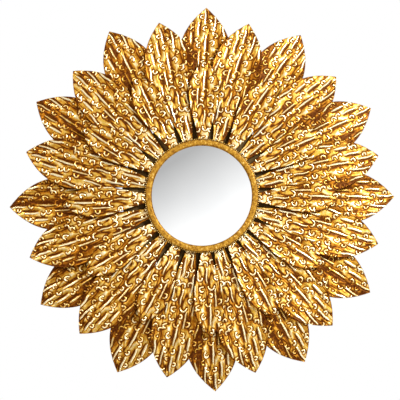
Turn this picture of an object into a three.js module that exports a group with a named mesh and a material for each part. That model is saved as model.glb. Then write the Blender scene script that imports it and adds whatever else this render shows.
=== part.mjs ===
// Round wall mirror in a rim, framed by three rows of pressed metal petals. All sizes are millimetres.
// The front faces -Y and +Z is up. The wall is the plane y = 0, and a depth below is a distance in front
// of the wall. The origin is the middle of the hanging bracket's back, where it meets the wall.

import * as THREE from 'three';

// The glass and the rim that holds it
const glassRadius = 119.5;
const glassThickness = 4;
const glassCover = 3.8;
const lipThickness = 2.7;
const collarWall = 8.3;
const flangeOverhang = 5;
const flangeThickness = 3.4;
const grooveWidth = 3.1;
const bandRise = 1.6;
const bandEdgeDrop = 0.9;

// The board behind the petals, and the bracket on its back
const backingRadius = 186;
const backingThickness = 10;
const bracketStrap = 2;
const bracketDepth = 9;
const bracketWidth = 44;
const bracketHeight = 20;
const bracketFoot = 16;
const hangingDrop = 110;

// The clearance between pieces that touch, and the one between two rows of petals
const fitGap = 0.3;
const rowGap = 0.4;
const flangeGap = 0.6;

// The petals' sheet, and the ridges pressed into it along each petal
const sheetThickness = 1.2;
const ridgeHeight = 2.4;
const ridgeRunIn = 22;

// How far the rim sits above the middle of the circle that the tips lie on
const rimRise = 4;

// The petals arch up from the collar to a crown at this radius, then fall back towards the wall
const crownRadius = 240;

// The back row
const longTipRadius = 449.5;
const longHalfWidth = 60.5;
const longShoulder = 117;
const longTipFullness = 2.2;
const longBaseHalfWidth = 11.5;
const longTrough = 5;
const longCrownRise = 0.5;
const longTipFall = 14;

// The middle row
const middleTipRadius = 423;
const middleHalfWidth = 57;
const middleShoulder = 120;
const middleTipFullness = 2.4;
const middleBaseHalfWidth = 11.5;
const middleTrough = 5;
const middleCrownRise = 1.5;
const middleTipFall = 8;

// The front row
const frontTipRadius = 321;
const frontHalfWidth = 36;
const frontShoulder = 77;
const frontTipFullness = 2.4;
const frontBaseHalfWidth = 10.5;
const frontTrough = 2.5;
const frontCrownRise = 3;
const frontTipFall = 2;

// The petals of a row stand a twelfth of a turn apart, clockwise from the top as the viewer sees them.
// Each was fitted by hand, so its tip and its base are a few degrees off: one value for each petal.
const petalsPerRow = 12;
const evenTipLeans = [1.4, 1.2, 2.0, -0.4, -0.7, -2.1, -4.0, -4.2, -3.5, -2.7, 0.2, 1.0];
const evenBaseLeans = [1.2, 1.3, 1.8, 2.0, 1.3, -1.4, -3.7, -3.6, -3.2, -2.5, -1.5, 0.1];
const oddTipLeans = [0.1, 3.0, 1.5, -0.3, -0.6, -2.0, -4.0, -3.1, -4.2, -0.4, -0.4, 1.3];
const oddBaseLeans = [1.6, 1.0, 2.0, 2.0, 0.2, -2.7, -4.0, -3.3, -3.0, -2.0, -0.7, 0.6];

// How finely the faces are cut
const roundSegments = 48;
const wideRidges = 5;
const narrowRidges = 4;
const wideSteps = 8;
const narrowSteps = 6;
const backColumns = 4;

// Depths that follow from the sizes above
const backingBack = bracketDepth + fitGap;
const backingFront = backingBack + backingThickness;
const longLevel = backingFront + fitGap + sheetThickness;
const middleLevel = longLevel + rowHeight(longTrough, wideRidges);
const frontLevel = middleLevel + rowHeight(middleTrough, wideRidges);
const frontBaseLift = frontTrough * (frontBaseHalfWidth / frontHalfWidth) ** 2;
const flangeBack = frontLevel + frontBaseLift + flangeGap;
const flangeFront = flangeBack + flangeThickness;
const bandFront = flangeFront + bandRise;
const lipFront = bandFront - bandEdgeDrop;
const glassFront = lipFront - lipThickness - fitGap;
const glassBack = glassFront - glassThickness;

// Radii and heights that follow
const lipRadius = glassRadius - glassCover;
const collarInner = glassRadius + fitGap;
const collarRadius = collarInner + collarWall;
const flangeRadius = collarRadius + flangeOverhang;
const bandRadius = flangeRadius - grooveWidth;
const bossRadius = glassRadius;
const petalBaseRadius = collarRadius + fitGap;
const rimCentre = new THREE.Vector2(0, -hangingDrop);
const flowerCentre = new THREE.Vector2(0, -hangingDrop - rimRise);

const goldLeaf = new THREE.MeshStandardMaterial({ color: 0xc08a2a, roughness: 0.35, metalness: 1 });
const smoothGold = new THREE.MeshStandardMaterial({ color: 0xc9962f, roughness: 0.4, metalness: 1 });
const silvered = new THREE.MeshStandardMaterial({ color: 0xd8dadb, roughness: 0.03, metalness: 1 });
const darkBoard = new THREE.MeshStandardMaterial({ color: 0x3b2c17, roughness: 0.85, metalness: 0 });
const bareSteel = new THREE.MeshStandardMaterial({ color: 0x8a8d90, roughness: 0.45, metalness: 1 });

const rows = [
  {
    name: 'long_petal',
    turn: 0,
    tipLeans: evenTipLeans,
    baseLeans: evenBaseLeans,
    tipRadius: longTipRadius,
    halfWidth: longHalfWidth,
    shoulder: longShoulder,
    tipFullness: longTipFullness,
    baseHalfWidth: longBaseHalfWidth,
    trough: longTrough,
    crownRise: longCrownRise,
    tipFall: longTipFall,
    level: longLevel,
    ridges: wideRidges,
    steps: wideSteps,
    neck: waistedNeck,
  },
  {
    name: 'middle_petal',
    turn: 0.5,
    tipLeans: oddTipLeans,
    baseLeans: oddBaseLeans,
    tipRadius: middleTipRadius,
    halfWidth: middleHalfWidth,
    shoulder: middleShoulder,
    tipFullness: middleTipFullness,
    baseHalfWidth: middleBaseHalfWidth,
    trough: middleTrough,
    crownRise: middleCrownRise,
    tipFall: middleTipFall,
    level: middleLevel,
    ridges: wideRidges,
    steps: wideSteps,
    neck: waistedNeck,
  },
  {
    name: 'front_petal',
    turn: 0,
    tipLeans: evenTipLeans,
    baseLeans: evenBaseLeans,
    tipRadius: frontTipRadius,
    halfWidth: frontHalfWidth,
    shoulder: frontShoulder,
    tipFullness: frontTipFullness,
    baseHalfWidth: frontBaseHalfWidth,
    trough: frontTrough,
    crownRise: frontCrownRise,
    tipFall: frontTipFall,
    level: frontLevel,
    ridges: narrowRidges,
    steps: narrowSteps,
    neck: fullNeck,
  },
];

// The next row starts above the highest point of the row below: its lifted edge or its outer ridge
function rowHeight(trough, ridges) {
  const outerRidge = 1 - 1 / ridges;
  const crest = Math.max(trough, trough * outerRidge ** 2 + ridgeHeight);
  return crest + sheetThickness + rowGap;
}

// The share of its widening that a neck has reached, from 0 at the base to 1 at the shoulder
function waistedNeck(share) {
  const easedShare = share * share * (3 - 2 * share);
  return (share + easedShare) / 2;
}

function fullNeck(share) {
  const easedShare = share * share * (3 - 2 * share);
  return (1 - (1 - share) ** 1.5 + easedShare) / 2;
}

// Half the width of a petal at a distance from its tip
function halfWidthAt(row, fromTip, length) {
  if (fromTip <= row.shoulder) {
    return row.halfWidth * (1 - (1 - fromTip / row.shoulder) ** row.tipFullness);
  }
  const share = (length - fromTip) / (length - row.shoulder);
  return row.baseHalfWidth + (row.halfWidth - row.baseHalfWidth) * row.neck(share);
}

// How far a petal's middle line stands off its own level, at a radius from the rim's centre. The rows
// behind rise less and fall more, so that the rows open outward and throw shadows on each other.
function archAt(row, radius) {
  if (radius < crownRadius) {
    const climb = (radius - petalBaseRadius) / (crownRadius - petalBaseRadius);
    return row.crownRise * Math.sin(climb * Math.PI / 2);
  }
  return row.crownRise - row.tipFall * ((radius - crownRadius) / (row.tipRadius - crownRadius)) ** 2;
}

// Ridges run in from nothing at the tip and at the base
function ridgeAt(fromTip, length) {
  const runIn = Math.min(1, fromTip / ridgeRunIn, (length - fromTip) / ridgeRunIn);
  return ridgeHeight * runIn;
}

// Distances from the tip of a petal's cross lines, from the base to the tip, closer together near the tip
function crossLines(row, length) {
  const aboveShoulder = Math.ceil(row.steps / 2);
  const belowShoulder = row.steps - aboveShoulder;
  const lines = [];
  for (let step = 0; step < belowShoulder; step += 1) {
    lines.push(length - (length - row.shoulder) * step / belowShoulder);
  }
  for (let step = 0; step < aboveShoulder; step += 1) {
    lines.push(row.shoulder * (1 - step / aboveShoulder) ** 1.25);
  }
  return lines;
}

// One petal with its base at the origin and its tip up +Z: a ridged front, and a plain back that is coarser
// across. Both share the cross lines, so that the side walls between them are plain strips.
function petalGeometry(row, length) {
  const frontColumns = 2 * row.ridges;
  const lines = crossLines(row, length);
  const positions = [];
  const triangles = [];

  function addVertex(across, fromTip, isRidge, thickness) {
    const halfWidth = halfWidthAt(row, fromTip, length);
    const x = across * halfWidth;
    const along = length - fromTip;
    const lift = row.trough * (x / row.halfWidth) ** 2;
    const ridge = isRidge ? ridgeAt(fromTip, length) : 0;
    const height = archAt(row, petalBaseRadius + along) + lift + ridge - thickness;
    positions.push(x, -height, along);
    return positions.length / 3 - 1;
  }

  function addSheet(columns, ridged, thickness) {
    const grid = lines.map((fromTip) => {
      const line = [];
      for (let column = 0; column <= columns; column += 1) {
        const across = 2 * column / columns - 1;
        line.push(addVertex(across, fromTip, ridged && column % 2 === 1, thickness));
      }
      return line;
    });
    const tip = addVertex(0, 0, false, thickness);
    return { grid, tip };
  }

  function addTriangle(a, b, c, flipped) {
    triangles.push(a, flipped ? c : b, flipped ? b : c);
  }

  function addFaces(sheet, columns, flipped) {
    for (let column = 0; column < columns; column += 1) {
      for (let step = 0; step + 1 < sheet.grid.length; step += 1) {
        const [a, b] = sheet.grid[step].slice(column, column + 2);
        const [d, c] = sheet.grid[step + 1].slice(column, column + 2);
        addTriangle(a, b, c, flipped);
        addTriangle(a, c, d, flipped);
      }
      const [a, b] = sheet.grid.at(-1).slice(column, column + 2);
      addTriangle(a, b, sheet.tip, flipped);
    }
  }

  // The strip between two rails that start and end side by side, whatever their numbers of points
  function addStrip(railA, railB, flipped) {
    let a = 0;
    let b = 0;
    while (a < railA.length - 1 || b < railB.length - 1) {
      const shareA = (a + 1) / (railA.length - 1);
      const shareB = (b + 1) / (railB.length - 1);
      if (shareA <= shareB) {
        addTriangle(railA[a], railA[a + 1], railB[b], flipped);
        a += 1;
      } else {
        addTriangle(railA[a], railB[b + 1], railB[b], flipped);
        b += 1;
      }
    }
  }

  const front = addSheet(frontColumns, true, 0);
  const back = addSheet(backColumns, false, sheetThickness);
  addFaces(front, frontColumns, false);
  addFaces(back, backColumns, true);
  const leftRail = (sheet) => [...sheet.grid.map((line) => line[0]), sheet.tip];
  const rightRail = (sheet) => [...sheet.grid.map((line) => line.at(-1)), sheet.tip];
  addStrip(leftRail(front), leftRail(back), false);
  addStrip(rightRail(front), rightRail(back), true);
  addStrip(front.grid[0], back.grid[0], true);

  const geometry = new THREE.BufferGeometry();
  geometry.setAttribute('position', new THREE.Float32BufferAttribute(positions, 3));
  geometry.setIndex(triangles);
  geometry.computeVertexNormals();
  return geometry;
}

// The way from the centre to a petal's base or tip: its share of the turn and its own lean
function directionOf(row, index, leans) {
  const degrees = (index + row.turn) * 360 / petalsPerRow + leans[index % leans.length];
  const angle = THREE.MathUtils.degToRad(degrees);
  return new THREE.Vector2(Math.sin(angle), Math.cos(angle));
}

// A petal stands on the collar and points to its place on the circle of tips
function petalMesh(row, index) {
  const base = rimCentre.clone().addScaledVector(directionOf(row, index, row.baseLeans), petalBaseRadius);
  const tip = flowerCentre.clone().addScaledVector(directionOf(row, index, row.tipLeans), row.tipRadius);
  const span = tip.clone().sub(base);
  const mesh = new THREE.Mesh(petalGeometry(row, span.length()), goldLeaf);
  mesh.name = `${row.name}_${String(index + 1).padStart(2, '0')}`;
  mesh.position.set(base.x, -row.level, base.y);
  mesh.rotation.y = Math.atan2(span.x, span.y);
  return mesh;
}

// A turned piece from its outline: pairs of a radius and a depth in front of the wall
function turnedMesh(name, outline, material) {
  const points = outline.map(([radius, depth]) => new THREE.Vector2(radius, -depth));
  const mesh = new THREE.Mesh(new THREE.LatheGeometry(points, roundSegments), material);
  mesh.name = name;
  mesh.position.set(rimCentre.x, 0, rimCentre.y);
  return mesh;
}

// The rim: a collar that the petals stand on, a thin flange that is milled outside, a band and a lip
function rimMesh() {
  const collarBack = backingFront + fitGap;
  const bandMiddle = (bandRadius + lipRadius) / 2;
  const seat = glassFront + fitGap;
  return turnedMesh('rim', [
    [collarInner, collarBack],
    [collarInner, seat],
    [lipRadius, seat],
    [lipRadius, lipFront],
    [bandMiddle, bandFront],
    [bandRadius, flangeFront + bandRise - bandEdgeDrop],
    [bandRadius, flangeFront],
    [flangeRadius, flangeFront],
    [flangeRadius, flangeBack],
    [collarRadius, flangeBack],
    [collarRadius, collarBack],
    [collarInner, collarBack],
  ], smoothGold);
}

function glassMesh() {
  return turnedMesh('mirror_glass', [
    [0, glassBack],
    [glassRadius, glassBack],
    [glassRadius, glassFront],
    [0, glassFront],
  ].reverse(), silvered);
}

// The board has a raised boss in the middle, which the glass lies on
function backingMesh() {
  return turnedMesh('backing_disc', [
    [0, backingBack],
    [backingRadius, backingBack],
    [backingRadius, backingFront],
    [bossRadius, backingFront],
    [bossRadius, glassBack - fitGap],
    [0, glassBack - fitGap],
  ].reverse(), darkBoard);
}

// The bracket: a flat bar bent so that its middle stands clear of the board and its feet lie on it
function bracketMesh() {
  const outer = bracketWidth / 2;
  const inner = outer - bracketStrap;
  const foot = outer + bracketFoot;
  const footBack = bracketDepth - bracketStrap;
  const profile = new THREE.Shape([
    [-outer, 0], [outer, 0], [outer, footBack], [foot, footBack], [foot, bracketDepth], [inner, bracketDepth],
    [inner, bracketStrap], [-inner, bracketStrap], [-inner, bracketDepth], [-foot, bracketDepth],
    [-foot, footBack], [-outer, footBack],
  ].map(([x, depth]) => new THREE.Vector2(x, -depth)));
  const geometry = new THREE.ExtrudeGeometry(profile, { depth: bracketHeight, bevelEnabled: false });
  const mesh = new THREE.Mesh(geometry, bareSteel);
  mesh.name = 'hanging_bracket';
  mesh.position.z = -bracketHeight / 2;
  return mesh;
}

const mirror = new THREE.Group();
for (const row of rows) {
  for (let index = 0; index < petalsPerRow; index += 1) {
    mirror.add(petalMesh(row, index));
  }
}
mirror.add(rimMesh(), glassMesh(), backingMesh(), bracketMesh());

export default mirror;
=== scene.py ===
import math

import bpy
import numpy as np
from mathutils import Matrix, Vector, noise


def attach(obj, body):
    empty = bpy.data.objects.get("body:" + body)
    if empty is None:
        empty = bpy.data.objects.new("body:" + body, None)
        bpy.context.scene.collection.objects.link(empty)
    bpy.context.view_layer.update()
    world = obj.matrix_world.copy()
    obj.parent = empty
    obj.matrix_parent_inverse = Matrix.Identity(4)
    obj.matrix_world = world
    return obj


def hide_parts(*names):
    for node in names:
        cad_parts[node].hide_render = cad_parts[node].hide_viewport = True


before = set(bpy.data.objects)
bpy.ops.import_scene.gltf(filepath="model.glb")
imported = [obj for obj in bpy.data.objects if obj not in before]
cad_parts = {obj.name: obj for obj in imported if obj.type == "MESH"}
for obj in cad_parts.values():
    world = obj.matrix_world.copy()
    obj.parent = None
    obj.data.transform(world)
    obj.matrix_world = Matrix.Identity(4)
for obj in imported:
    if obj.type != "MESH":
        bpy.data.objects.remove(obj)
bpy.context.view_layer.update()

MM = 0.001

# The rim, the glass and the board, in millimetres, as the solids have them
GLASS_RADIUS = 119.5
GLASS_THICKNESS = 4.0
GLASS_COVER = 3.8
LIP_THICKNESS = 2.7
COLLAR_WALL = 8.3
FLANGE_OVERHANG = 5.0
FLANGE_THICKNESS = 3.4
GROOVE_WIDTH = 3.1
BAND_RISE = 1.6
BAND_EDGE_DROP = 0.9
BACKING_RADIUS = 186.0
BACKING_BACK = 9.3
BACKING_THICKNESS = 10.0
FIT_GAP = 0.3
ROW_GAP = 0.4
FLANGE_GAP = 0.6
BEADS_ON_RIM = 178
BEAD_EXTRA = 0.1
BEAD_DEPTH_SHARE = 0.75
BEAD_SEGMENTS = 10
BEAD_RINGS = 7
CHAMFER = 2.6
LIP_EDGE = 0.3
BAND_ROUNDING = 0.8
BAND_FLATNESS = 4
GROOVE_DROP = 2.2
FLANGE_SIDE = 1.0
FLANGE_SIDE_BEVEL = 0.4
FLANGE_BACK_BEVEL = 0.2
GLASS_BEVEL = 0.5
BOARD_BEVEL = 1.0
BAND_STEPS = 12
RIM_STEPS = 192
GLASS_STEPS = 160
BOARD_STEPS = 128
SMOOTH_ANGLE = 35
MERGE_DISTANCE = 0.02
RIM_CENTRE = (0.0, -110.0)
FLOWER_CENTRE = (0.0, -114.0)

# How bright the rim is rubbed, on the outer half of its band and on its beads. The inner half carries
# painted shade:
# it darkens towards the glass over a few millimetres of depth, to no less than a set level
BAND_WEAR = 1.2
INNER_SHADE_START = 1.1
INNER_SHADE_DEPTH = 3.0
INNER_SHADE_LIMIT = 0.75
BEAD_WEAR = 1.8

# The petals' sheet, arch and leans (degrees, clockwise), as the solids have them
SHEET = 1.2
CROWN_RADIUS = 240.0
PETALS_PER_ROW = 12
BACK_TROUGH = 5.0
FRONT_TROUGH = 2.5
OUTER_RIDGE = 0.8
FRONT_OUTER_RIDGE = 0.75
FRONT_NECK_CURVE = 1.5
EVEN_TIP_LEANS = [1.4, 1.2, 2.0, -0.4, -0.7, -2.1, -4.0, -4.2, -3.5, -2.7, 0.2, 1.0]
EVEN_BASE_LEANS = [1.2, 1.3, 1.8, 2.0, 1.3, -1.4, -3.7, -3.6, -3.2, -2.5, -1.5, 0.1]
ODD_TIP_LEANS = [0.1, 3.0, 1.5, -0.3, -0.6, -2.0, -4.0, -3.1, -4.2, -0.4, -0.4, 1.3]
ODD_BASE_LEANS = [1.6, 1.0, 2.0, 2.0, 0.2, -2.7, -4.0, -3.3, -3.0, -2.0, -0.7, 0.6]

# The pressed tips are blunt, where the solids' are sharp, and stop TIP_TRIM short of them
TIP_HALF_WIDTH = 0.15
TIP_TRIM = 0.1

# The pressed pattern stays ROW_CLEARANCE under the row above, and runs out at the collar
ROW_CLEARANCE = 0.1
BASE_RUN_OUT = (3.0, 9.0)

# How many fine faces of the front go with one face of the plain back, and how much relief the back shows
BACK_SHARE = 4
BACK_RELIEF = 0.35

# The pressed pattern is drawn in steps of the die, from its own middle; x is to the right, y to the tip
DIE_STEP = 2.332
RIDGE_HALF_WIDTH = 2.3
RIDGE_END = 0.45
RIDGE_HEIGHT = 2.4
CURL_HALF_WIDTH = 1.9
CURL_HEIGHT = 1.8
GROOVE_DEPTH = 0.7
RIGHT_GROOVE_OFFSET = 4.2
RIGHT_GROOVE = 2.4
LEFT_GROOVE_OFFSET = 3.2
LEFT_GROOVE = 1.5
LEFT_GROOVE_SHARE = 0.45
CURL_GROOVE = 1.5
CURL_GROOVE_OFFSET = 0.9
CURL_GROOVE_SHARE = 0.9
PLAIN_HEIGHT = 0.5
STREAK_HEIGHT = 0.55
STREAK_SIZE = 7.0
STREAK_STRETCH = 4.5
LUMP_HEIGHT = 0.35
LUMP_SIZE = 8.0
FOLD_SIZE = 9.0
FOLD_STRETCH = 6.0
FOLD_WIDTH = 0.28
FOLD_DEPTH = 0.9
FOLD_ON_RIDGE = 0.8
PANEL_SIZE = 11.0
PANEL_STRETCH = 5.0
WANDER = 1.6
WANDER_SIZE = 22.0
FAR_AWAY = 99.0
NOISE_GAIN = 1.7

# How bright the gold is rubbed (0 is the brown of the hollows, 1 is bare metal), with painted highlight on
# the necks and painted shade along the edges and in the recesses
PLAIN_WEAR = 0.51
STREAK_WEAR = 0.12
LUMP_WEAR = 0.08
PANEL_WEAR = 0.20
CREST_WEAR = 0.44
CREST_START = 0.45
# Painted highlight: each neck is lighter towards the collar, over its last stretch
NECK_HIGHLIGHT = 0.22
NECK_HIGHLIGHT_LENGTH = 70.0
GROOVE_WEAR = 0.74
FOLD_WEAR = 0.64
# Painted shade: how dark, and how wide, the band along each petal's edge is where it stands over the petal
# behind
EDGE_SHADE = 0.42
EDGE_SHADE_BAND = 2.4
# Painted shade: how much darker a petal's front gets near the outlines of the rows above, and how far out it
# reaches
RECESS_SHADE = 0.32
RECESS_SHADE_REACH = 6.0
BACK_WEAR = 0.30
BACK_WEAR_SPREAD = 0.06

# Where each soft noise is taken from
WANDER_X_SEED = 1.3
WANDER_Y_SEED = 5.1
STREAK_SEED = 0.37
LUMP_SEED = 7.7
FOLD_SEED = 3.3
PANEL_SEED = 9.1
BACK_SEED = 2.2

# The studio, in metres: floor, room, camera and the card that the glass shows
FLOOR_SIZE = 2.0
FLOOR_PLACE = (0.0, 0.1, -1.15)
FLOOR_COLOUR = (0.86, 0.86, 0.85, 1.0)
FLOOR_ROUGHNESS = 0.9
PETAL_DEPTH = 0.026
VIEW_WIDTH = 0.9285
PHOTO_SIDE = 400
FLOWER_PIXEL = (201.8, 197.6)
CAMERA_DISTANCE = 2.7
CAMERA_ELEVATION = -3.2
ROOM_LIGHT = 0.16
WARM_ROOM = (1.0, 0.70, 0.36)
WHITE = (1.0, 1.0, 1.0)
GLASS_ROOM_HEIGHTS = (-0.6, 0.8)
GLASS_ROOM_LIGHT = (0.45, 0.85)
CARD_SIZE = 0.84
CARD_PLACE = (0.0, -4.2, 0.12)
CARD_SLANT = 58.0
CARD_HEIGHT = 0.1
CARD_FADE = (-0.285, 0.085)
CARD_LIGHT = (0.50, 1.1)
KEY_COLOUR = (0.93, 1.0, 1.0)
WARM_COLOUR = (1.0, 0.87, 0.66)
LIGHTS = [
    {"name": "key", "place": (1.4, -1.8, 0.9), "size": 0.6, "power": 102.0, "colour": KEY_COLOUR},
    {"name": "glow", "place": (0.6, -2.6, -0.5), "size": 1.2, "power": 17.0, "colour": WARM_COLOUR},
    {"name": "side", "place": (-1.6, -1.7, 0.9), "size": 0.6, "power": 36.0, "colour": WARM_COLOUR},
    {"name": "rear", "place": (0.5, 2.6, 0.6), "size": 1.6, "power": 22.0, "colour": WHITE},
]

# The rows of petals, from the wall to the front
ROWS = [
    {
        "name": "long_petal", "turn": 0.0, "tip_leans": EVEN_TIP_LEANS, "base_leans": EVEN_BASE_LEANS,
        "tip_radius": 449.5, "half_width": 60.5, "shoulder": 117.0, "fullness": 2.2,
        "base_half_width": 11.5, "waisted": True,
        "trough": BACK_TROUGH, "crown_rise": 0.5, "tip_fall": 14.0,
        "columns": 76, "lines": 172, "pattern_drop": 88.0, "fine_until": 205.0,
    },
    {
        "name": "middle_petal", "turn": 0.5, "tip_leans": ODD_TIP_LEANS, "base_leans": ODD_BASE_LEANS,
        "tip_radius": 423.0, "half_width": 57.0, "shoulder": 120.0, "fullness": 2.4,
        "base_half_width": 11.5, "waisted": True,
        "trough": BACK_TROUGH, "crown_rise": 1.5, "tip_fall": 8.0,
        "columns": 76, "lines": 196, "pattern_drop": 98.0, "fine_until": 293.0,
    },
    {
        "name": "front_petal", "turn": 0.0, "tip_leans": EVEN_TIP_LEANS, "base_leans": EVEN_BASE_LEANS,
        "tip_radius": 321.0, "half_width": 36.0, "shoulder": 77.0, "fullness": 2.4,
        "base_half_width": 10.5, "waisted": False,
        "trough": FRONT_TROUGH, "crown_rise": 3.0, "tip_fall": 2.0,
        "columns": 52, "lines": 132, "pattern_drop": 49.0, "fine_until": 191.0,
    },
]

# Depths in front of the wall and radii that follow
ROW_RISE = BACK_TROUGH * OUTER_RIDGE ** 2 + RIDGE_HEIGHT + SHEET + ROW_GAP
BACKING_FRONT = BACKING_BACK + BACKING_THICKNESS
LONG_LEVEL = BACKING_FRONT + FIT_GAP + SHEET
for step, row in enumerate(ROWS):
    row["level"] = LONG_LEVEL + step * ROW_RISE
front_row = ROWS[-1]
front_base_lift = front_row["trough"] * (front_row["base_half_width"] / front_row["half_width"]) ** 2
FLANGE_BACK = front_row["level"] + front_base_lift + FLANGE_GAP
FLANGE_FRONT = FLANGE_BACK + FLANGE_THICKNESS
BAND_FRONT = FLANGE_FRONT + BAND_RISE
LIP_FRONT = BAND_FRONT - BAND_EDGE_DROP
GLASS_FRONT = LIP_FRONT - LIP_THICKNESS - FIT_GAP
GLASS_BACK = GLASS_FRONT - GLASS_THICKNESS
BOSS_FRONT = GLASS_BACK - FIT_GAP
COLLAR_BACK = BACKING_FRONT + FIT_GAP
SEAT = GLASS_FRONT + FIT_GAP
LIP_RADIUS = GLASS_RADIUS - GLASS_COVER
COLLAR_INNER = GLASS_RADIUS + FIT_GAP
COLLAR_RADIUS = COLLAR_INNER + COLLAR_WALL
FLANGE_RADIUS = COLLAR_RADIUS + FLANGE_OVERHANG
BAND_RADIUS = FLANGE_RADIUS - GROOVE_WIDTH
PETAL_BASE_RADIUS = COLLAR_RADIUS + FIT_GAP

# Ridges of the die: (x, y) where each starts and (x, y) where it ends
RIDGES = [
    ((-1.0, 21.0), (-1.0, 36.0)),
    ((9.0, 13.0), (9.2, 31.0)),
    ((-7.8, 9.0), (-7.8, 22.5)),
    ((-15.0, -1.0), (-14.8, 13.0)),
    ((17.7, 8.0), (16.6, 22.0)),
    ((-0.5, -9.0), (-0.5, 10.0)),
    ((-7.0, -25.0), (-7.2, -8.0)),
    ((13.4, -36.0), (13.2, -20.0)),
    ((0.8, -45.0), (0.8, -31.0)),
    ((9.6, -46.0), (9.2, -36.0)),
    ((-13.5, -40.0), (-13.5, -22.0)),
    ((-8.0, -62.0), (-8.2, -44.0)),
    ((3.6, -76.0), (3.4, -58.0)),
    ((11.0, -70.0), (11.0, -58.0)),
    ((-3.4, -88.0), (-3.2, -68.0)),
    ((7.6, -96.0), (7.4, -78.0)),
    ((21.0, -38.0), (21.0, -27.0)),
    ((-20.5, -14.0), (-20.2, -1.0)),
    ((15.8, 27.0), (15.2, 36.0)),
    ((-1.6, 40.0), (-1.4, 47.0)),
]

# Curls of the die: x, y, radius, which way the curl opens (degrees from the right), and how wide.
# A dot is a tiny ring that doesn't open.
CURLS = [
    (-4.4, 28.0, 1.7, 0.0, 131.0),
    (-1.0, 16.0, 1.8, -30.0, 161.0),
    (6.5, 15.7, 2.0, 200.0, 185.0),
    (9.6, 8.6, 2.2, 180.0, 190.0),
    (-9.0, 4.0, 1.8, 0.0, 173.0),
    (-6.5, -1.2, 2.4, 0.0, 155.0),
    (6.5, 1.2, 2.3, 215.0, 137.0),
    (11.0, -8.0, 2.3, 180.0, 179.0),
    (14.5, -3.5, 2.2, 130.0, 190.0),
    (22.0, 1.0, 2.4, 180.0, 173.0),
    (20.6, -6.0, 2.2, 90.0, 167.0),
    (1.3, -10.4, 2.2, -90.0, 167.0),
    (-10.0, -12.5, 2.3, 0.0, 161.0),
    (-16.0, -6.0, 2.0, 60.0, 131.0),
    (6.5, -17.0, 2.3, 230.0, 173.0),
    (-1.6, -19.0, 1.9, 0.0, 161.0),
    (19.8, -14.6, 1.9, 220.0, 190.0),
    (21.5, -21.5, 2.3, 20.0, 137.0),
    (-3.0, -27.6, 3.2, -90.0, 185.0),
    (6.5, -25.2, 2.3, 180.0, 137.0),
    (15.2, -31.0, 0.1, 0.0, 0.0),
    (7.5, -36.4, 2.2, -90.0, 173.0),
    (1.8, -48.6, 2.6, 70.0, 161.0),
    (19.0, -46.0, 2.6, -90.0, 185.0),
    (7.0, -51.0, 2.2, 30.0, 125.0),
    (-6.0, -50.0, 2.2, 90.0, 131.0),
    (0.6, -60.0, 2.4, 0.0, 161.0),
    (-14.5, -45.0, 2.2, 0.0, 155.0),
    (15.0, -52.0, 2.2, 180.0, 161.0),
    (-4.0, -66.0, 2.2, -90.0, 167.0),
    (7.4, -68.0, 2.2, 180.0, 149.0),
    (-1.4, -78.0, 2.2, 0.0, 161.0),
    (4.6, -84.0, 2.2, 200.0, 143.0),
    (0.4, -94.0, 2.2, 90.0, 161.0),
    (5.6, 34.6, 1.5, -90.0, 190.0),
    (12.6, 24.0, 1.7, 180.0, 149.0),
    (-12.6, 19.0, 1.9, 0.0, 143.0),
    (-15.5, 16.5, 1.6, 90.0, 167.0),
    (3.4, 24.5, 1.4, 180.0, 167.0),
    (-19.5, 4.0, 1.9, 0.0, 161.0),
    (-21.0, -18.0, 2.0, 0.0, 149.0),
    (15.0, -15.5, 1.7, 90.0, 161.0),
    (-18.0, -26.0, 2.1, 0.0, 161.0),
    (-9.0, -35.0, 2.2, 180.0, 161.0),
    (16.5, 4.0, 0.1, 0.0, 0.0),
    (2.6, 43.0, 1.2, 180.0, 167.0),
]


def deselect_all():
    bpy.ops.object.select_all(action="DESELECT")


def select_only(piece):
    deselect_all()
    piece.select_set(True)
    bpy.context.view_layer.objects.active = piece


def smooth_share(value):
    return value * value * (3 - 2 * value)


def half_width_at(row, from_tip, length):
    """Half a petal's width: a leaf above the shoulder, and a neck down to the base."""
    near = np.clip(1 - from_tip / row["shoulder"], 0, 1)
    above = row["half_width"] * (1 - near ** row["fullness"])
    share = np.clip((length - from_tip) / (length - row["shoulder"]), 0, 1)
    first = share if row["waisted"] else 1 - (1 - share) ** FRONT_NECK_CURVE
    neck = (first + smooth_share(share)) / 2
    below = row["base_half_width"] + (row["half_width"] - row["base_half_width"]) * neck
    return np.where(from_tip <= row["shoulder"], above, below)


def arch_at(row, radius):
    """How far a petal stands out: it climbs to the crown, and falls back to the tip."""
    climb = np.clip((radius - PETAL_BASE_RADIUS) / (CROWN_RADIUS - PETAL_BASE_RADIUS), 0, 1)
    rise = row["crown_rise"] * np.sin(climb * math.pi / 2)
    beyond = np.clip(radius - CROWN_RADIUS, 0, None) / (row["tip_radius"] - CROWN_RADIUS)
    return np.where(radius < CROWN_RADIUS, rise, row["crown_rise"] - row["tip_fall"] * beyond ** 2)


def room_at(row, radius):
    """How high a petal may stand over its own middle line before it meets the row above."""
    if row is ROWS[-1]:
        return np.full(radius.shape, row["trough"] * FRONT_OUTER_RIDGE ** 2 + RIDGE_HEIGHT)
    above = ROWS[ROWS.index(row) + 1]
    return ROW_RISE - SHEET - ROW_CLEARANCE + arch_at(above, radius) - arch_at(row, radius)


def line_distance(x, y, start, end):
    """The distance to a ridge's line, stretched towards its ends so that the ridge tapers."""
    along_x, along_y = end[0] - start[0], end[1] - start[1]
    share = ((x - start[0]) * along_x + (y - start[1]) * along_y) / (along_x ** 2 + along_y ** 2)
    share = np.clip(share, 0, 1)
    distance = np.hypot(x - start[0] - share * along_x, y - start[1] - share * along_y)
    return distance / (RIDGE_END + (1 - RIDGE_END) * np.sqrt(np.sin(math.pi * share)))


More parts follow.
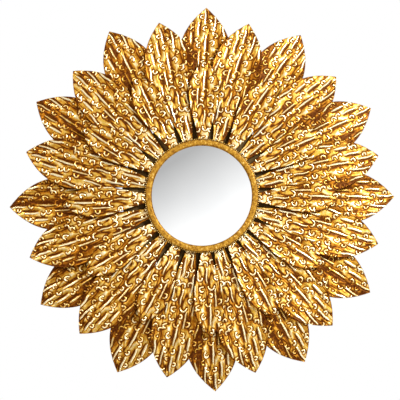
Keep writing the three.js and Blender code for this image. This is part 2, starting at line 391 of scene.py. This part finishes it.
def curl_distance(x, y, curl):
    """The distance to a curl: a ring, open on one side."""
    centre_x, centre_y, radius, opens, width = curl
    dx = x - centre_x
    dy = y - centre_y
    half_gap = math.radians(width / 2)
    turn = np.arctan2(dy, dx) - math.radians(opens)
    turn = np.abs((turn + math.pi) % (2 * math.pi) - math.pi)
    ends = []
    for side in (-1, 1):
        angle = math.radians(opens) + side * half_gap
        ends.append(np.hypot(dx - radius * math.cos(angle), dy - radius * math.sin(angle)))
    return np.where(turn > half_gap, np.abs(np.hypot(dx, dy) - radius), np.minimum(*ends))


def field(x, y, size, seed):
    """Soft noise between about -1 and 1, with blobs of the given size."""
    values = [noise.noise(Vector((a / size, b / size, seed))) for a, b in zip(x.ravel(), y.ravel())]
    return np.array(values).reshape(x.shape) * NOISE_GAIN


def bead(distance, half_width):
    """A round swelling across a line: 1 on it and 0 from half_width on."""
    return np.clip(1 - (distance / half_width) ** 2, 0, 1)


def relief_at(row, x, from_tip):
    """The height of the pressed pattern, and how bright it is rubbed (0 is brown, 1 is bare metal), with
    painted highlight on the neck and painted shade along the edge.
    """
    y = row["pattern_drop"] - from_tip
    die_x = (x + field(x, y, WANDER_SIZE, WANDER_X_SEED) * WANDER) / DIE_STEP
    die_y = (y + field(x, y, WANDER_SIZE, WANDER_Y_SEED) * WANDER) / DIE_STEP
    ridge = np.full(x.shape, FAR_AWAY)
    right = np.full(x.shape, FAR_AWAY)
    left = np.full(x.shape, FAR_AWAY)
    for start, end in RIDGES:
        ridge = np.minimum(ridge, line_distance(die_x, die_y, start, end))
        beside = die_x - RIGHT_GROOVE_OFFSET / DIE_STEP
        right = np.minimum(right, line_distance(beside, die_y, start, end))
        beside = die_x + LEFT_GROOVE_OFFSET / DIE_STEP
        left = np.minimum(left, line_distance(beside, die_y, start, end))
    curl = np.full(x.shape, FAR_AWAY)
    for one in CURLS:
        curl = np.minimum(curl, curl_distance(die_x, die_y, one))
    ridge, right, left, curl = (distance * DIE_STEP for distance in (ridge, right, left, curl))
    raised = np.maximum(
        RIDGE_HEIGHT * bead(ridge, RIDGE_HALF_WIDTH),
        CURL_HEIGHT * bead(curl, CURL_HALF_WIDTH),
    )
    groove = np.maximum(
        np.maximum(bead(right, RIGHT_GROOVE), LEFT_GROOVE_SHARE * bead(left, LEFT_GROOVE)),
        CURL_GROOVE_SHARE * bead(curl - CURL_HALF_WIDTH - CURL_GROOVE_OFFSET, CURL_GROOVE),
    )
    groove = groove * np.clip(1 - raised, 0, 1)
    streaks = field(x, y / STREAK_STRETCH, STREAK_SIZE, STREAK_SEED)
    lumps = field(x, y, LUMP_SIZE, LUMP_SEED)
    folds = field(x, y / FOLD_STRETCH, FOLD_SIZE, FOLD_SEED)
    crease = np.clip(1 - np.abs(folds) / FOLD_WIDTH, 0, 1)
    crease = crease * np.clip(1 - FOLD_ON_RIDGE * raised, 0, 1)
    panels = field(x, y / PANEL_STRETCH, PANEL_SIZE, PANEL_SEED)
    plain = PLAIN_HEIGHT + STREAK_HEIGHT * streaks + LUMP_HEIGHT * lumps - FOLD_DEPTH * crease
    height = np.maximum(raised, plain * (1 - groove)) - GROOVE_DEPTH * groove
    crest = np.clip((raised / CURL_HEIGHT - CREST_START) / (1 - CREST_START), 0, 1)
    length = row["tip_radius"] - PETAL_BASE_RADIUS
    # painted highlight: lighter towards the collar
    neck = np.clip((from_tip - length + NECK_HIGHLIGHT_LENGTH) / NECK_HIGHLIGHT_LENGTH, 0, 1)
    rubbed_and_painted_light = PLAIN_WEAR + STREAK_WEAR * streaks + LUMP_WEAR * lumps + PANEL_WEAR * panels
    rubbed_and_painted_light = rubbed_and_painted_light + CREST_WEAR * crest + NECK_HIGHLIGHT * neck
    # painted shade: a dark band along the petal's edge, where it stands over the petal behind
    edge_shade = np.clip(1 - (half_width_at(row, from_tip, length) - np.abs(x)) / EDGE_SHADE_BAND, 0, 1)
    rubbed_and_painted_light = rubbed_and_painted_light - GROOVE_WEAR * groove - FOLD_WEAR * crease - EDGE_SHADE * edge_shade
    return np.clip(height, -GROOVE_DEPTH, RIDGE_HEIGHT), np.clip(rubbed_and_painted_light, 0, 1)


def from_tip_of(row, share, length):
    """Lines lie close together down to fine_until, and twice as far apart below it."""
    fine = min(row["fine_until"], length)
    total = fine + (length - fine) / 2
    walked = share * total
    return np.where(walked <= fine, walked, fine + (walked - fine) * 2)


def sheet_grid(row, columns, lines, length, relief_share, thickness):
    """A grid shaped to a petal: x is across, z is up to the tip, and the front faces -Y."""
    deselect_all()
    bpy.ops.mesh.primitive_grid_add(x_subdivisions=columns, y_subdivisions=lines, size=2)
    grid = bpy.context.object
    points = np.zeros(len(grid.data.vertices) * 3)
    grid.data.vertices.foreach_get("co", points)
    points = points.reshape(-1, 3)
    across = points[:, 0]
    from_tip = from_tip_of(row, (1 - points[:, 1]) / 2, length)
    half = np.maximum(half_width_at(row, from_tip, length), TIP_HALF_WIDTH)
    x = across * half
    relief, rubbed_and_painted_light = relief_at(row, x, from_tip)
    lift = row["trough"] * (x / row["half_width"]) ** 2
    relief = np.minimum(relief, room_at(row, PETAL_BASE_RADIUS + length - from_tip) - lift)
    start, full = BASE_RUN_OUT
    relief = relief * np.clip((length - from_tip - start) / (full - start), 0, 1)
    height = lift + relief * relief_share - thickness
    shaped = np.stack([x, -height, -from_tip], axis=1)
    grid.data.vertices.foreach_set("co", (shaped * MM).ravel())
    if thickness > 0:
        rubbed_and_painted_light = BACK_WEAR + BACK_WEAR_SPREAD * field(x, from_tip, LUMP_SIZE, BACK_SEED)
    wear_and_painted_light = grid.data.attributes.new("wear_and_painted_light", "FLOAT", "POINT")
    wear_and_painted_light.data.foreach_set("value", rubbed_and_painted_light.astype(np.float32))
    return grid


def petal_model(row):
    """The petal of a row as it comes from the die, with its tip at the origin."""
    length = row["tip_radius"] - PETAL_BASE_RADIUS
    front = sheet_grid(row, row["columns"], row["lines"], length, 1.0, 0.0)
    back = sheet_grid(
        row, row["columns"] // BACK_SHARE, row["lines"] // BACK_SHARE, length, BACK_RELIEF, SHEET
    )
    select_only(back)
    bpy.ops.object.mode_set(mode="EDIT")
    bpy.ops.mesh.select_all(action="SELECT")
    bpy.ops.mesh.flip_normals()
    bpy.ops.object.mode_set(mode="OBJECT")
    front.select_set(True)
    bpy.context.view_layer.objects.active = front
    bpy.ops.object.join()
    bpy.ops.object.mode_set(mode="EDIT")
    bpy.ops.mesh.select_mode(type="EDGE")
    bpy.ops.mesh.select_all(action="DESELECT")
    bpy.ops.mesh.select_non_manifold()
    bpy.ops.mesh.bridge_edge_loops()
    bpy.ops.object.mode_set(mode="OBJECT")
    select_only(front)
    bpy.ops.object.shade_smooth()
    return front


def direction_of(row, index, leans):
    degrees = (index + row["turn"]) * 360 / PETALS_PER_ROW + row[leans][index]
    return np.array([math.sin(math.radians(degrees)), math.cos(math.radians(degrees))])


def petal_ends(row, index):
    """The points (across, up) where a petal's middle line starts on the collar and ends in its tip."""
    base = np.array(RIM_CENTRE) + direction_of(row, index, "base_leans") * PETAL_BASE_RADIUS
    tip = np.array(FLOWER_CENTRE) + direction_of(row, index, "tip_leans") * row["tip_radius"]
    return base, tip


def outside_petal(row, index, x, z):
    """How far points lie outside a petal, seen from the front, and 0 where they are behind it."""
    base, tip = petal_ends(row, index)
    length = float(np.hypot(*(tip - base)))
    up = (tip - base) / length
    from_tip = length - (x - base[0]) * up[0] - (z - base[1]) * up[1]
    across = np.abs((x - base[0]) * up[1] - (z - base[1]) * up[0])
    drawn_length = row["tip_radius"] - PETAL_BASE_RADIUS
    stretch = (length - row["shoulder"]) / (drawn_length - row["shoulder"])
    below = np.clip(from_tip - row["shoulder"], 0, None)
    drawn = np.clip(np.minimum(from_tip, row["shoulder"]) + below / stretch, 0, drawn_length)
    beside = np.clip(across - half_width_at(row, drawn, drawn_length), 0, None)
    return np.hypot(beside, np.clip(-from_tip, 0, None))


def paint_recess_shade(piece, row, placed):
    """Painted shade: darkens a petal's front near the outlines of the rows above, in the corners where it
    goes in under them.
    """
    normals = np.zeros(len(placed) * 3)
    piece.data.vertices.foreach_get("normal", normals)
    in_front = normals.reshape(-1, 3)[:, 1] < 0
    recess_shade = np.zeros(len(placed))
    for above in ROWS[ROWS.index(row) + 1:]:
        for other in range(PETALS_PER_ROW):
            outside = outside_petal(above, other, placed[:, 0], placed[:, 2])
            recess_shade = np.maximum(recess_shade, np.clip(1 - outside / RECESS_SHADE_REACH, 0, 1))
    wear_and_painted_light = piece.data.attributes["wear_and_painted_light"].data
    rubbed_and_painted_light = np.zeros(len(placed), dtype=np.float32)
    wear_and_painted_light.foreach_get("value", rubbed_and_painted_light)
    rubbed_and_painted_light = np.clip(rubbed_and_painted_light - RECESS_SHADE * recess_shade * in_front, 0, 1)
    wear_and_painted_light.foreach_set("value", rubbed_and_painted_light.astype(np.float32))


def place_petal(model, row, index):
    """A copy of the row's petal, with its neck drawn out or in to its own length, arched, on the collar."""
    base, tip = petal_ends(row, index)
    span = tip - base
    length = float(np.hypot(*span))
    drawn_length = row["tip_radius"] - PETAL_BASE_RADIUS
    piece = model.copy()
    piece.data = model.data.copy()
    bpy.context.collection.objects.link(piece)
    piece.name = f"{row['name']}_{index + 1:02d}_pressed"
    points = np.zeros(len(piece.data.vertices) * 3)
    piece.data.vertices.foreach_get("co", points)
    points = points.reshape(-1, 3) / MM
    from_tip = -points[:, 2]
    below = np.clip(from_tip - row["shoulder"], 0, None)
    stretch = (length - row["shoulder"]) / (drawn_length - row["shoulder"])
    from_tip = np.minimum(from_tip, row["shoulder"]) + below * stretch
    along = length - np.maximum(from_tip, TIP_TRIM)
    depth = row["level"] - points[:, 1] + arch_at(row, PETAL_BASE_RADIUS + along)
    up = span / length
    side = np.array([up[1], -up[0]])
    placed = np.stack([
        base[0] + points[:, 0] * side[0] + along * up[0],
        -depth,
        base[1] + points[:, 0] * side[1] + along * up[1],
    ], axis=1)
    # painted shade where the rows above cover the petal
    paint_recess_shade(piece, row, placed)
    piece.data.vertices.foreach_set("co", (placed * MM).ravel())
    piece.data.update()
    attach(piece, "root")
    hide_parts(f"{row['name']}_{index + 1:02d}")
    return piece


def new_material(name):
    material = bpy.data.materials.new(name)
    material.use_nodes = True
    tree = material.node_tree
    shader = tree.nodes["Principled BSDF"]
    return material, tree, shader


def add_noise(tree, vector, scale, detail, roughness=0.5):
    node = tree.nodes.new("ShaderNodeTexNoise")
    node.inputs["Scale"].default_value = scale
    node.inputs["Detail"].default_value = detail
    node.inputs["Roughness"].default_value = roughness
    tree.links.new(vector, node.inputs["Vector"])
    return node.outputs["Fac"]


def add_ramp(tree, factor, stops):
    node = tree.nodes.new("ShaderNodeValToRGB")
    ramp = node.color_ramp
    while len(ramp.elements) < len(stops):
        ramp.elements.new(0.5)
    for element, (position, colour) in zip(ramp.elements, stops):
        element.position = position
        element.color = (*colour, 1.0)
    tree.links.new(factor, node.inputs["Fac"])
    return node.outputs["Color"]


def add_math(tree, operation, first, second):
    node = tree.nodes.new("ShaderNodeMath")
    node.operation = operation
    for socket, value in zip(node.inputs, (first, second)):
        if isinstance(value, (int, float)):
            socket.default_value = value
        else:
            tree.links.new(value, socket)
    return node.outputs["Value"]


def add_range(tree, value, from_low, from_high, to_low, to_high):
    node = tree.nodes.new("ShaderNodeMapRange")
    tree.links.new(value, node.inputs["Value"])
    node.inputs["From Min"].default_value = from_low
    node.inputs["From Max"].default_value = from_high
    node.inputs["To Min"].default_value = to_low
    node.inputs["To Max"].default_value = to_high
    return node.outputs["Result"]


def add_bump(tree, shader, height, distance, strength):
    node = tree.nodes.new("ShaderNodeBump")
    node.inputs["Distance"].default_value = distance
    node.inputs["Strength"].default_value = strength
    tree.links.new(height, node.inputs["Height"])
    tree.links.new(node.outputs["Normal"], shader.inputs["Normal"])


def object_coordinates(tree):
    return tree.nodes.new("ShaderNodeTexCoord").outputs["Object"]


def pressed_gold():
    material, tree, shader = new_material("pressed_antique_gold")
    place = object_coordinates(tree)
    wear_and_painted_light = tree.nodes.new("ShaderNodeAttribute")
    wear_and_painted_light.attribute_name = "wear_and_painted_light"
    mottle = add_noise(tree, place, 160.0, 4.0, 0.6)
    level = add_math(tree, "ADD", wear_and_painted_light.outputs["Fac"], add_range(tree, mottle, 0.3, 0.7, -0.12, 0.12))
    colour = add_ramp(tree, level, [
        (0.02, (0.070, 0.014, 0.001)),
        (0.26, (0.32, 0.110, 0.004)),
        (0.50, (0.565, 0.350, 0.056)),
        (0.88, (0.94, 0.86, 0.64)),
    ])
    tree.links.new(colour, shader.inputs["Base Color"])
    shader.inputs["Metallic"].default_value = 0.55
    shader.inputs["Specular IOR Level"].default_value = 0.28
    shader.inputs["Specular Tint"].default_value = (1.0, 0.78, 0.36, 1.0)
    tree.links.new(add_range(tree, level, 0.1, 0.9, 0.46, 0.26), shader.inputs["Roughness"])
    fine = add_noise(tree, place, 420.0, 3.0)
    add_bump(tree, shader, fine, 0.0006, 0.25)
    return material


def smooth_gold():
    material, tree, shader = new_material("smooth_antique_gold")
    place = object_coordinates(tree)
    mottle = add_noise(tree, place, 190.0, 4.0, 0.6)
    wear_and_painted_light = tree.nodes.new("ShaderNodeAttribute")
    wear_and_painted_light.attribute_name = "wear_and_painted_light"
    shade = add_range(tree, mottle, 0.3, 0.7, -0.35, 0.33)
    level = add_math(tree, "ADD", add_math(tree, "MULTIPLY", wear_and_painted_light.outputs["Fac"], 0.6), shade)
    colour = add_ramp(tree, level, [
        (0.02, (0.040, 0.012, 0.002)),
        (0.35, (0.195, 0.080, 0.007)),
        (0.60, (0.325, 0.158, 0.014)),
        (0.80, (0.46, 0.255, 0.033)),
        (1.00, (0.88, 0.680, 0.34)),
    ])
    tree.links.new(colour, shader.inputs["Base Color"])
    shader.inputs["Metallic"].default_value = 0.4
    shader.inputs["Specular IOR Level"].default_value = 0.35
    shader.inputs["Specular Tint"].default_value = (1.0, 0.80, 0.45, 1.0)
    tree.links.new(add_range(tree, mottle, 0.3, 0.7, 0.42, 0.55), shader.inputs["Roughness"])
    add_bump(tree, shader, add_noise(tree, place, 300.0, 3.0), 0.0004, 0.35)
    return material


def mirror_silver():
    material, tree, shader = new_material("mirror_silver")
    place = object_coordinates(tree)
    haze = add_noise(tree, place, 9.0, 2.0)
    colour = add_ramp(tree, haze, [(0.3, (0.90, 0.91, 0.915)), (0.7, (0.95, 0.955, 0.955))])
    tree.links.new(colour, shader.inputs["Base Color"])
    shader.inputs["Metallic"].default_value = 1.0
    shader.inputs["Roughness"].default_value = 0.0
    return material


def dark_board():
    material, tree, shader = new_material("stained_board_dark_as_shade")
    place = object_coordinates(tree)
    stretch = tree.nodes.new("ShaderNodeMapping")
    stretch.inputs["Scale"].default_value = (1.0, 1.0, 0.12)
    tree.links.new(place, stretch.inputs["Vector"])
    grain = add_noise(tree, stretch.outputs["Vector"], 140.0, 5.0, 0.6)
    # Painted shade: the board is near-black brown so that the gaps between the petal necks read as dark as
    # shadow; the grain is its own
    colour = add_ramp(tree, grain, [
        (0.30, (0.050, 0.028, 0.009)),
        (0.55, (0.085, 0.050, 0.017)),
        (0.75, (0.130, 0.080, 0.030)),
    ])
    tree.links.new(colour, shader.inputs["Base Color"])
    shader.inputs["Specular IOR Level"].default_value = 0.12
    tree.links.new(add_range(tree, grain, 0.3, 0.7, 0.70, 0.90), shader.inputs["Roughness"])
    add_bump(tree, shader, grain, 0.0005, 0.5)
    return material


def bare_steel():
    material, tree, shader = new_material("bare_steel")
    place = object_coordinates(tree)
    stretch = tree.nodes.new("ShaderNodeMapping")
    stretch.inputs["Scale"].default_value = (0.08, 1.0, 1.0)
    tree.links.new(place, stretch.inputs["Vector"])
    lines = add_noise(tree, stretch.outputs["Vector"], 900.0, 3.0)
    colour = add_ramp(tree, lines, [(0.3, (0.30, 0.31, 0.32)), (0.7, (0.46, 0.47, 0.48))])
    tree.links.new(colour, shader.inputs["Base Color"])
    shader.inputs["Metallic"].default_value = 1.0
    tree.links.new(add_range(tree, lines, 0.3, 0.7, 0.34, 0.50), shader.inputs["Roughness"])
    return material


def set_material(piece, material):
    piece.data.materials.clear()
    piece.data.materials.append(material)


def turned_piece(name, profile, steps):
    """Spins an outline of (radius, depth) pairs, which runs from the axis or back to its own start."""
    mesh = bpy.data.meshes.new(name)
    points = [(radius * MM, -depth * MM, 0.0) for radius, depth in profile]
    mesh.from_pydata(points, [(i, i + 1) for i in range(len(points) - 1)], [])
    piece = bpy.data.objects.new(name, mesh)
    bpy.context.collection.objects.link(piece)
    select_only(piece)
    bpy.ops.object.mode_set(mode="EDIT")
    bpy.ops.mesh.select_all(action="SELECT")
    bpy.ops.mesh.spin(
        steps=steps, angle=2 * math.pi, center=(0, 0, 0), axis=(0, 1, 0), dupli=False,
        use_auto_merge=True,
    )
    bpy.ops.mesh.select_all(action="SELECT")
    bpy.ops.mesh.remove_doubles(threshold=MERGE_DISTANCE * MM)
    bpy.ops.mesh.normals_make_consistent(inside=False)
    bpy.ops.object.mode_set(mode="OBJECT")
    return piece


def move_to_rim(piece):
    piece.location = (RIM_CENTRE[0] * MM, 0, RIM_CENTRE[1] * MM)
    select_only(piece)
    bpy.ops.object.transform_apply(location=True, rotation=True, scale=True)


def add_wear_and_painted_light(piece, rule):
    """Writes how far each point is rubbed bright, and how dark painted shade makes it, from its radius and
    its depth in millimetres.
    """
    points = np.zeros(len(piece.data.vertices) * 3)
    piece.data.vertices.foreach_get("co", points)
    points = points.reshape(-1, 3) / MM
    wear_and_painted_light = piece.data.attributes.new("wear_and_painted_light", "FLOAT", "POINT")
    rubbed_and_painted_light = rule(np.hypot(points[:, 0], points[:, 2]), -points[:, 1])
    wear_and_painted_light.data.foreach_set("value", rubbed_and_painted_light.astype(np.float32))


def rim_piece():
    inner_edge = LIP_RADIUS + CHAMFER
    band_middle = (BAND_RADIUS + inner_edge) / 2
    arc = []
    band_half = (BAND_RADIUS - inner_edge) / 2
    for step in range(BAND_STEPS + 1):
        share = -1 + 2 * step / BAND_STEPS
        drop = BAND_ROUNDING * abs(share) ** BAND_FLATNESS
        arc.append((band_middle + share * band_half, BAND_FRONT - drop))
    outer_floor = FLANGE_FRONT - GROOVE_DROP
    side = FLANGE_RADIUS - FLANGE_SIDE
    outline = [
        (COLLAR_INNER, COLLAR_BACK),
        (COLLAR_INNER, SEAT),
        (LIP_RADIUS, SEAT),
        (LIP_RADIUS, SEAT + LIP_EDGE),
        *arc,
        (BAND_RADIUS, outer_floor),
        (side - FLANGE_SIDE_BEVEL, outer_floor),
        (side, FLANGE_BACK + FLANGE_BACK_BEVEL),
        (side - FLANGE_SIDE_BEVEL, FLANGE_BACK),
        (COLLAR_RADIUS, FLANGE_BACK),
        (COLLAR_RADIUS, COLLAR_BACK),
        (COLLAR_INNER, COLLAR_BACK),
    ]
    rim = turned_piece("rim_milled", outline, RIM_STEPS)
    select_only(rim)
    bpy.ops.object.shade_smooth_by_angle(angle=math.radians(SMOOTH_ANGLE))
    # painted shade: the band's inner half darkens towards the glass
    add_wear_and_painted_light(rim, lambda radius, depth: np.where(
        radius < band_middle,
        np.clip((depth - BAND_FRONT) / INNER_SHADE_DEPTH + INNER_SHADE_START, INNER_SHADE_LIMIT, 1),
        np.clip((depth - BAND_FRONT) / BAND_ROUNDING + BAND_WEAR, 0, 1),
    ))
    bead_radius = GROOVE_WIDTH / 2 + BEAD_EXTRA
    bpy.ops.mesh.primitive_uv_sphere_add(
        segments=BEAD_SEGMENTS, ring_count=BEAD_RINGS, radius=bead_radius * MM
    )
    first = bpy.context.object
    bpy.ops.object.shade_smooth()
    add_wear_and_painted_light(first, lambda radius, depth: np.clip(depth / bead_radius, 0, 1) ** 2 * BEAD_WEAR)
    centre = FLANGE_RADIUS - bead_radius
    depth = FLANGE_FRONT - bead_radius * BEAD_DEPTH_SHARE
    beads = []
    for index in range(BEADS_ON_RIM):
        angle = 2 * math.pi * index / BEADS_ON_RIM
        one = first.copy()
        one.data = first.data.copy()
        bpy.context.collection.objects.link(one)
        one.location = (centre * math.cos(angle) * MM, -depth * MM, centre * math.sin(angle) * MM)
        one.rotation_euler = (0, -angle, 0)
        beads.append(one)
    bpy.data.objects.remove(first)
    deselect_all()
    for one in beads:
        one.select_set(True)
    rim.select_set(True)
    bpy.context.view_layer.objects.active = rim
    bpy.ops.object.join()
    move_to_rim(rim)
    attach(rim, "root")
    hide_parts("rim")
    return rim


def glass_piece():
    glass = turned_piece("mirror_glass_polished", [
        (0, GLASS_BACK),
        (GLASS_RADIUS - GLASS_BEVEL, GLASS_BACK),
        (GLASS_RADIUS, GLASS_BACK + GLASS_BEVEL),
        (GLASS_RADIUS, GLASS_FRONT - GLASS_BEVEL),
        (GLASS_RADIUS - GLASS_BEVEL, GLASS_FRONT),
        (0, GLASS_FRONT),
    ], GLASS_STEPS)
    move_to_rim(glass)
    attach(glass, "root")
    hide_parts("mirror_glass")
    return glass


def board_piece():
    # The backing disc, dark so that it stands in for the shade between the petal necks
    board = turned_piece("backing_disc_dark_as_shade", [
        (0, BACKING_BACK),
        (BACKING_RADIUS - BOARD_BEVEL, BACKING_BACK),
        (BACKING_RADIUS, BACKING_BACK + BOARD_BEVEL),
        (BACKING_RADIUS, BACKING_FRONT - BOARD_BEVEL),
        (BACKING_RADIUS - BOARD_BEVEL, BACKING_FRONT),
        (GLASS_RADIUS, BACKING_FRONT),
        (GLASS_RADIUS, BOSS_FRONT),
        (0, BOSS_FRONT),
    ], BOARD_STEPS)
    move_to_rim(board)
    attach(board, "root")
    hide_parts("backing_disc")
    return board


def add_floor():
    deselect_all()
    bpy.ops.mesh.primitive_plane_add(size=FLOOR_SIZE, location=FLOOR_PLACE)
    floor = bpy.context.object
    floor.name = "floor"
    material, tree, shader = new_material("pale_floor")
    shader.inputs["Base Color"].default_value = FLOOR_COLOUR
    shader.inputs["Roughness"].default_value = FLOOR_ROUGHNESS
    set_material(floor, material)


def add_room():
    """A white room for the camera, a room with a darker floor for the glass, and a warm one for the gold."""
    world = bpy.data.worlds.new("studio")
    bpy.context.scene.world = world
    world.use_nodes = True
    tree = world.node_tree
    background = tree.nodes["Background"]
    sight = tree.nodes.new("ShaderNodeLightPath")
    to_camera = sight.outputs["Is Camera Ray"]
    in_glass = sight.outputs["Is Singular Ray"]
    clear_view = add_math(tree, "MAXIMUM", to_camera, in_glass)
    colour = add_ramp(tree, clear_view, [(0.0, WARM_ROOM), (1.0, WHITE)])
    tree.links.new(colour, background.inputs["Color"])
    looking = tree.nodes.new("ShaderNodeTexCoord")
    height = tree.nodes.new("ShaderNodeSeparateXYZ")
    tree.links.new(looking.outputs["Generated"], height.inputs["Vector"])
    seen_in_glass = add_range(tree, height.outputs["Z"], *GLASS_ROOM_HEIGHTS, *GLASS_ROOM_LIGHT)
    mirrored = add_math(tree, "MULTIPLY", in_glass, seen_in_glass)
    direct = add_range(tree, to_camera, 0, 1, ROOM_LIGHT, 1.0)
    tree.links.new(add_math(tree, "ADD", mirrored, direct), background.inputs["Strength"])


def add_card():
    """A card behind the camera, which the glass shows: grey at the upper left, white at the lower right."""
    deselect_all()
    bpy.ops.mesh.primitive_plane_add(
        size=CARD_SIZE, location=CARD_PLACE, rotation=(math.radians(-90), 0, 0)
    )
    card = bpy.context.object
    card.name = "light_card"
    bpy.ops.object.transform_apply(location=True, rotation=True, scale=True)
    material, tree, shader = new_material("card_light")
    slant = tree.nodes.new("ShaderNodeMapping")
    slant.vector_type = "TEXTURE"
    slant.inputs["Location"].default_value = (0.0, 0.0, CARD_HEIGHT)
    slant.inputs["Rotation"].default_value = (0.0, math.radians(CARD_SLANT), 0.0)
    tree.links.new(object_coordinates(tree), slant.inputs["Vector"])
    split = tree.nodes.new("ShaderNodeSeparateXYZ")
    tree.links.new(slant.outputs["Vector"], split.inputs["Vector"])
    shade = add_range(tree, split.outputs["X"], *CARD_FADE, *CARD_LIGHT)
    glow = tree.nodes.new("ShaderNodeEmission")
    tree.links.new(shade, glow.inputs["Strength"])
    tree.links.new(glow.outputs["Emission"], tree.nodes["Material Output"].inputs["Surface"])
    set_material(card, material)


def add_light(light, aim):
    lamp_data = bpy.data.lights.new(light["name"], "AREA")
    lamp_data.shape = "DISK"
    lamp_data.size = light["size"]
    lamp_data.energy = light["power"]
    lamp_data.color = light["colour"]
    lamp = bpy.data.objects.new(light["name"], lamp_data)
    bpy.context.collection.objects.link(lamp)
    lamp.location = light["place"]
    lamp.rotation_euler = (aim - Vector(light["place"])).to_track_quat("-Z", "Y").to_euler()


def add_camera(middle):
    """The camera stands so that the middle of the flower falls on its pixel of the photo."""
    pixel = VIEW_WIDTH / PHOTO_SIDE
    aim = middle + Vector((
        -(FLOWER_PIXEL[0] - PHOTO_SIDE / 2) * pixel,
        0,
        (FLOWER_PIXEL[1] - PHOTO_SIDE / 2) * pixel,
    ))
    elevation = math.radians(CAMERA_ELEVATION)
    camera_data = bpy.data.cameras.new("photo_camera")
    camera = bpy.data.objects.new("photo_camera", camera_data)
    bpy.context.collection.objects.link(camera)
    camera.location = aim + CAMERA_DISTANCE * Vector((0, -math.cos(elevation), math.sin(elevation)))
    camera.rotation_euler = (aim - camera.location).to_track_quat("-Z", "Y").to_euler()
    camera_data.sensor_fit = "HORIZONTAL"
    camera_data.angle = 2 * math.atan(VIEW_WIDTH / 2 / CAMERA_DISTANCE)
    bpy.context.scene.camera = camera


gold = pressed_gold()
for row in ROWS:
    model = petal_model(row)
    set_material(model, gold)
    for index in range(PETALS_PER_ROW):
        place_petal(model, row, index)
    bpy.data.objects.remove(model)

set_material(rim_piece(), smooth_gold())
set_material(glass_piece(), mirror_silver())
set_material(board_piece(), dark_board())
steel = bare_steel()
for material_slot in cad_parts["hanging_bracket"].material_slots:
    material_slot.material = steel

flower_middle = Vector((FLOWER_CENTRE[0] * MM, -PETAL_DEPTH, FLOWER_CENTRE[1] * MM))
add_floor()
add_room()
add_card()
for light in LIGHTS:
    add_light(light, flower_middle)
add_camera(flower_middle)
bpy.context.scene.view_settings.view_transform = "Standard"

bpy.context.view_layer.update()
